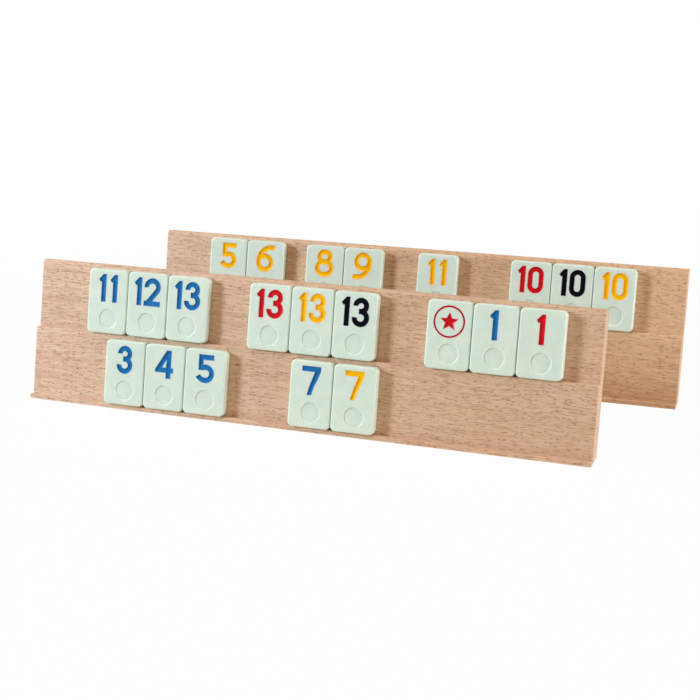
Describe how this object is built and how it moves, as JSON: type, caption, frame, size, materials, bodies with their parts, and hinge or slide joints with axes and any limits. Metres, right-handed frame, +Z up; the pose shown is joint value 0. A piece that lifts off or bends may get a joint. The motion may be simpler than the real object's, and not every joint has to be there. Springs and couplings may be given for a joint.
{
  "type": "rummy tile rack set",
  "caption": "Stepped beech racks that lean back on wedge feet, with moulded number tiles standing along their ledges.",
  "frame": {"origin": "middle of the front rack's base face, on the table", "axes": "+X along the racks to the player's right, +Y away from the player, +Z up"},
  "size_m": [0.3782, 0.18, 0.0825],
  "materials": {
    "beech": "fine sanded, satin lacquer",
    "dowel_beech": "raw",
    "tile_plastic": "smooth moulded",
    "paint_blue": "enamel fill",
    "paint_red": "enamel fill",
    "paint_yellow": "enamel fill",
    "paint_black": "enamel fill"
  },
  "bodies": {
    "front_rack": {"front_rack_board": "beech", "front_foot_left": "beech", "front_foot_right": "beech", "front_foot_dowels": "dowel_beech"},
    "rear_rack": {"rear_rack_board": "beech", "rear_foot_left": "beech", "rear_foot_right": "beech", "rear_foot_dowels": "dowel_beech"},
    "blue_11_tile": {"tile_blue_11": "tile_plastic", "paint_blue_11": "paint_blue"},
    "blue_12_tile": {"tile_blue_12": "tile_plastic", "paint_blue_12": "paint_blue"},
    "blue_13_tile": {"tile_blue_13": "tile_plastic", "paint_blue_13": "paint_blue"},
    "red_13_tile": {"tile_red_13": "tile_plastic", "paint_red_13": "paint_red"},
    "yellow_13_tile": {"tile_yellow_13": "tile_plastic", "paint_yellow_13": "paint_yellow"},
    "black_13_tile": {"tile_black_13": "tile_plastic", "paint_black_13": "paint_black"},
    "red_joker_tile": {"tile_red_joker": "tile_plastic", "paint_red_joker": "paint_red"},
    "blue_1_tile": {"tile_blue_1": "tile_plastic", "paint_blue_1": "paint_blue"},
    "red_1_tile": {"tile_red_1": "tile_plastic", "paint_red_1": "paint_red"},
    "blue_3_tile": {"tile_blue_3": "tile_plastic", "paint_blue_3": "paint_blue"},
    "blue_4_tile": {"tile_blue_4": "tile_plastic", "paint_blue_4": "paint_blue"},
    "blue_5_tile": {"tile_blue_5": "tile_plastic", "paint_blue_5": "paint_blue"},
    "blue_7_tile": {"tile_blue_7": "tile_plastic", "paint_blue_7": "paint_blue"},
    "yellow_7_tile": {"tile_yellow_7": "tile_plastic", "paint_yellow_7": "paint_yellow"},
    "yellow_5_tile": {"tile_yellow_5": "tile_plastic", "paint_yellow_5": "paint_yellow"},
    "yellow_6_tile": {"tile_yellow_6": "tile_plastic", "paint_yellow_6": "paint_yellow"},
    "yellow_8_tile": {"tile_yellow_8": "tile_plastic", "paint_yellow_8": "paint_yellow"},
    "yellow_9_tile": {"tile_yellow_9": "tile_plastic", "paint_yellow_9": "paint_yellow"},
    "yellow_11_tile": {"tile_yellow_11": "tile_plastic", "paint_yellow_11": "paint_yellow"},
    "red_10_tile": {"tile_red_10": "tile_plastic", "paint_red_10": "paint_red"},
    "black_10_tile": {"tile_black_10": "tile_plastic", "paint_black_10": "paint_black"},
    "yellow_10_tile": {"tile_yellow_10": "tile_plastic", "paint_yellow_10": "paint_yellow"}
  },
  "joints": [
    {"name": "rear_rack_slide", "type": "slide", "parent": "front_rack", "child": "rear_rack", "axis": [0, 1, 0], "range_m": [-0.04, 0.15]},
    {"name": "blue_11_pull", "type": "slide", "parent": "front_rack", "child": "blue_11_tile", "axis": [0, -0.9816, 0.1908], "range_m": [0, 0.03]},
    {"name": "blue_12_pull", "type": "slide", "parent": "front_rack", "child": "blue_12_tile", "axis": [0, -0.9816, 0.1908], "range_m": [0, 0.03]},
    {"name": "blue_13_pull", "type": "slide", "parent": "front_rack", "child": "blue_13_tile", "axis": [0, -0.9816, 0.1908], "range_m": [0, 0.03]},
    {"name": "red_13_pull", "type": "slide", "parent": "front_rack", "child": "red_13_tile", "axis": [0, -0.9816, 0.1908], "range_m": [0, 0.03]},
    {"name": "yellow_13_pull", "type": "slide", "parent": "front_rack", "child": "yellow_13_tile", "axis": [0, -0.9816, 0.1908], "range_m": [0, 0.03]},
    {"name": "black_13_pull", "type": "slide", "parent": "front_rack", "child": "black_13_tile", "axis": [0, -0.9816, 0.1908], "range_m": [0, 0.03]},
    {"name": "red_joker_pull", "type": "slide", "parent": "front_rack", "child": "red_joker_tile", "axis": [0, -0.9816, 0.1908], "range_m": [0, 0.03]},
    {"name": "blue_1_pull", "type": "slide", "parent": "front_rack", "child": "blue_1_tile", "axis": [0, -0.9816, 0.1908], "range_m": [0, 0.03]},
    {"name": "red_1_pull", "type": "slide", "parent": "front_rack", "child": "red_1_tile", "axis": [0, -0.9816, 0.1908], "range_m": [0, 0.03]},
    {"name": "blue_3_pull", "type": "slide", "parent": "front_rack", "child": "blue_3_tile", "axis": [0, -0.9816, 0.1908], "range_m": [0, 0.03]},
    {"name": "blue_4_pull", "type": "slide", "parent": "front_rack", "child": "blue_4_tile", "axis": [0, -0.9816, 0.1908], "range_m": [0, 0.03]},
    {"name": "blue_5_pull", "type": "slide", "parent": "front_rack", "child": "blue_5_tile", "axis": [0, -0.9816, 0.1908], "range_m": [0, 0.03]},
    {"name": "blue_7_pull", "type": "slide", "parent": "front_rack", "child": "blue_7_tile", "axis": [0, -0.9816, 0.1908], "range_m": [0, 0.03]},
    {"name": "yellow_7_pull", "type": "slide", "parent": "front_rack", "child": "yellow_7_tile", "axis": [0, -0.9816, 0.1908], "range_m": [0, 0.03]},
    {"name": "yellow_5_pull", "type": "slide", "parent": "rear_rack", "child": "yellow_5_tile", "axis": [0.0223, -0.9814, 0.1908], "range_m": [0, 0.03]},
    {"name": "yellow_6_pull", "type": "slide", "parent": "rear_rack", "child": "yellow_6_tile", "axis": [0.0223, -0.9814, 0.1908], "range_m": [0, 0.03]},
    {"name": "yellow_8_pull", "type": "slide", "parent": "rear_rack", "child": "yellow_8_tile", "axis": [0.0223, -0.9814, 0.1908], "range_m": [0, 0.03]},
    {"name": "yellow_9_pull", "type": "slide", "parent": "rear_rack", "child": "yellow_9_tile", "axis": [0.0223, -0.9814, 0.1908], "range_m": [0, 0.03]},
    {"name": "yellow_11_pull", "type": "slide", "parent": "rear_rack", "child": "yellow_11_tile", "axis": [0.0223, -0.9814, 0.1908], "range_m": [0, 0.03]},
    {"name": "red_10_pull", "type": "slide", "parent": "rear_rack", "child": "red_10_tile", "axis": [0.0223, -0.9814, 0.1908], "range_m": [0, 0.03]},
    {"name": "black_10_pull", "type": "slide", "parent": "rear_rack", "child": "black_10_tile", "axis": [0.0223, -0.9814, 0.1908], "range_m": [0, 0.03]},
    {"name": "yellow_10_pull", "type": "slide", "parent": "rear_rack", "child": "yellow_10_tile", "axis": [0.0223, -0.9814, 0.1908], "range_m": [0, 0.03]}
  ]
}
